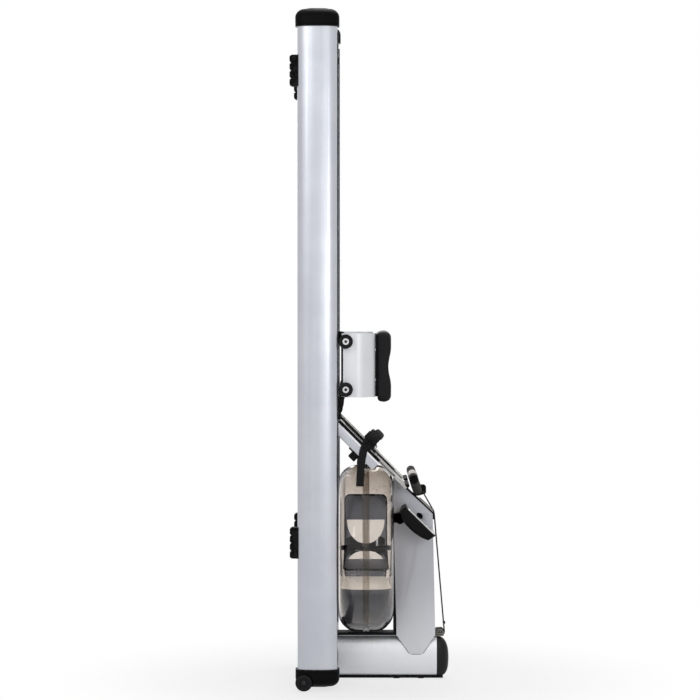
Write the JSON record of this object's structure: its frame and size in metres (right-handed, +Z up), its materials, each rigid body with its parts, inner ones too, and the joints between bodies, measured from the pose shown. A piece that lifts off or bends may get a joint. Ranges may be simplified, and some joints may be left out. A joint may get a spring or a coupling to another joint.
{
  "type": "water rowing machine",
  "caption": "Low dual-rail aluminium water rower stood up on its front end for storage, with a smoked water tank, sliding seat, sloped foot boards, swing monitor and belt handle.",
  "frame": {"origin": "on the floor, under the middle of the machine's bounding box as it is stored upright", "axes": "+Z up, from the front end on the floor to the rear end of the rails; +X the way the seat faces up in use; +Y the rower's left"},
  "size_m": [0.504, 0.583, 2.1226],
  "materials": {
    "rail_silver": "satin anodised",
    "black_plastic": "fine grain moulding",
    "black_metal": "satin powder coat",
    "rubber": "matt",
    "tank_smoke": "smoked clear polycarbonate, gloss",
    "rotor_dark": "satin",
    "panel_grey": "satin silver coat",
    "carriage_silver": "satin anodised",
    "light_plastic": "satin",
    "webbing": "woven webbing",
    "foam": "closed-cell foam",
    "cushion_hide": "smooth synthetic hide over foam"
  },
  "bodies": {
    "frame": {"belt_guide": "light_plastic", "belt_loop": "webbing", "belt_run": "webbing", "column": "rail_silver", "column_cap": "black_plastic", "deck_cover": "black_metal", "deck_side_left": "panel_grey", "deck_side_right": "panel_grey", "filler_plug": "black_plastic", "floor_strip": "rubber", "foot_board_left": "black_plastic", "foot_board_right": "black_plastic", "foot_cross_bar": "black_metal", "foot_strap_left": "webbing", "foot_strap_right": "webbing", "foot_strut_left": "rail_silver", "foot_strut_right": "rail_silver", "front_beam": "black_metal", "front_cap_left": "black_plastic", "front_cap_right": "black_plastic", "front_foot_left": "rubber", "front_foot_right": "rubber", "monitor_arm": "black_plastic", "pulley_bracket": "black_metal", "rail_left": "rail_silver", "rail_right": "rail_silver", "rear_cap_left": "black_plastic", "rear_cap_right": "black_plastic", "rear_cross_tube": "black_metal", "rear_foot_left": "rubber", "rear_foot_right": "rubber", "seat_stop_left": "black_plastic", "seat_stop_right": "black_plastic", "tank_band": "tank_smoke", "tank_frame": "black_metal", "tank_shell_lower": "tank_smoke", "tank_shell_upper": "tank_smoke", "track_left": "black_plastic", "track_right": "black_plastic"},
    "seat": {"seat_carriage": "carriage_silver", "seat_tray": "black_plastic", "seat_cushion": "cushion_hide"},
    "rotor": {"paddle_rotor": "rotor_dark"},
    "drum": {"belt_drum": "black_plastic"},
    "pulley": {"front_pulley": "light_plastic"},
    "handle": {"handle_yoke": "black_plastic", "grip_right": "foam", "grip_left": "foam"},
    "heel_right": {"heel_rest_right": "light_plastic"},
    "heel_left": {"heel_rest_left": "light_plastic"},
    "monitor": {"monitor_case": "black_plastic"},
    "button_left": {"monitor_button_left": "rubber"},
    "button_middle": {"monitor_button_middle": "rubber"},
    "button_right": {"monitor_button_right": "rubber"},
    "transport_right": {"transport_wheel_right": "rubber"},
    "transport_left": {"transport_wheel_left": "rubber"},
    "seat_wheel_front_right": {"seat_wheel_front_right": "rubber"},
    "seat_wheel_front_left": {"seat_wheel_front_left": "rubber"},
    "seat_wheel_rear_right": {"seat_wheel_rear_right": "rubber"},
    "seat_wheel_rear_left": {"seat_wheel_rear_left": "rubber"}
  },
  "joints": [
    {"name": "seat_slide", "type": "slide", "parent": "frame", "child": "seat", "axis": [0, 0, 1], "range_m": [0, 0.88]},
    {"name": "seat_wheel_front_right_spin", "type": "hinge", "parent": "seat", "child": "seat_wheel_front_right", "pos_m": [-0.078, -0.25, 0.9376], "axis": [0, -1, 0], "range_deg": [0, 2260]},
    {"name": "seat_wheel_front_left_spin", "type": "hinge", "parent": "seat", "child": "seat_wheel_front_left", "pos_m": [-0.078, 0.25, 0.9376], "axis": [0, -1, 0], "range_deg": [0, 2260]},
    {"name": "seat_wheel_rear_right_spin", "type": "hinge", "parent": "seat", "child": "seat_wheel_rear_right", "pos_m": [-0.078, -0.25, 1.0874], "axis": [0, -1, 0], "range_deg": [0, 2260]},
    {"name": "seat_wheel_rear_left_spin", "type": "hinge", "parent": "seat", "child": "seat_wheel_rear_left", "pos_m": [-0.078, 0.25, 1.0874], "axis": [0, -1, 0], "range_deg": [0, 2260]},
    {"name": "transport_right_spin", "type": "hinge", "parent": "frame", "child": "transport_right", "pos_m": [-0.208, -0.2755, 0.0265], "axis": [0, 1, 0], "continuous": true},
    {"name": "transport_left_spin", "type": "hinge", "parent": "frame", "child": "transport_left", "pos_m": [-0.208, 0.2755, 0.0265], "axis": [0, 1, 0], "continuous": true},
    {"name": "paddle_spin", "type": "hinge", "parent": "frame", "child": "rotor", "pos_m": [-0.0145, 0, 0.419], "axis": [1, 0, 0], "continuous": true},
    {"name": "handle_pull", "type": "slide", "parent": "frame", "child": "handle", "axis": [0, 0, 1], "range_m": [0, 1.2], "deforming": ["belt_run"]},
    {"name": "drum_spin", "type": "hinge", "parent": "frame", "child": "drum", "pos_m": [0.1045, 0, 0.419], "axis": [1, 0, 0], "range_deg": [0, 3240]},
    {"name": "pulley_spin", "type": "hinge", "parent": "frame", "child": "pulley", "pos_m": [0.225, 0, 0.15], "axis": [0, -1, 0], "range_deg": [0, 5400]},
    {"name": "heel_right_slide", "type": "slide", "parent": "frame", "child": "heel_right", "axis": [0.7071, 0, -0.7071], "range_m": [-0.06, 0]},
    {"name": "heel_left_slide", "type": "slide", "parent": "frame", "child": "heel_left", "axis": [0.7071, 0, -0.7071], "range_m": [-0.06, 0]},
    {"name": "monitor_tilt", "type": "hinge", "parent": "frame", "child": "monitor", "pos_m": [0.093, -0.13, 0.518], "axis": [0, 1, 0], "range_deg": [-20, 20]},
    {"name": "button_left_press", "type": "slide", "parent": "monitor", "child": "button_left", "axis": [-0.7071, 0, -0.7071], "range_m": [0, 0.0015], "stiffness_N_per_m": 800},
    {"name": "button_middle_press", "type": "slide", "parent": "monitor", "child": "button_middle", "axis": [-0.7071, 0, -0.7071], "range_m": [0, 0.0015], "stiffness_N_per_m": 800},
    {"name": "button_right_press", "type": "slide", "parent": "monitor", "child": "button_right", "axis": [-0.7071, 0, -0.7071], "range_m": [0, 0.0015], "stiffness_N_per_m": 800}
  ],
  "couplings": [
    {"joint": "seat_wheel_front_right_spin", "follows": "seat_slide", "rad_per_m": 44.643},
    {"joint": "seat_wheel_front_left_spin", "follows": "seat_slide", "rad_per_m": 44.643},
    {"joint": "seat_wheel_rear_right_spin", "follows": "seat_slide", "rad_per_m": 44.643},
    {"joint": "seat_wheel_rear_left_spin", "follows": "seat_slide", "rad_per_m": 44.643},
    {"joint": "drum_spin", "follows": "handle_pull", "rad_per_m": 46.948},
    {"joint": "pulley_spin", "follows": "handle_pull", "rad_per_m": 76.923}
  ]
}
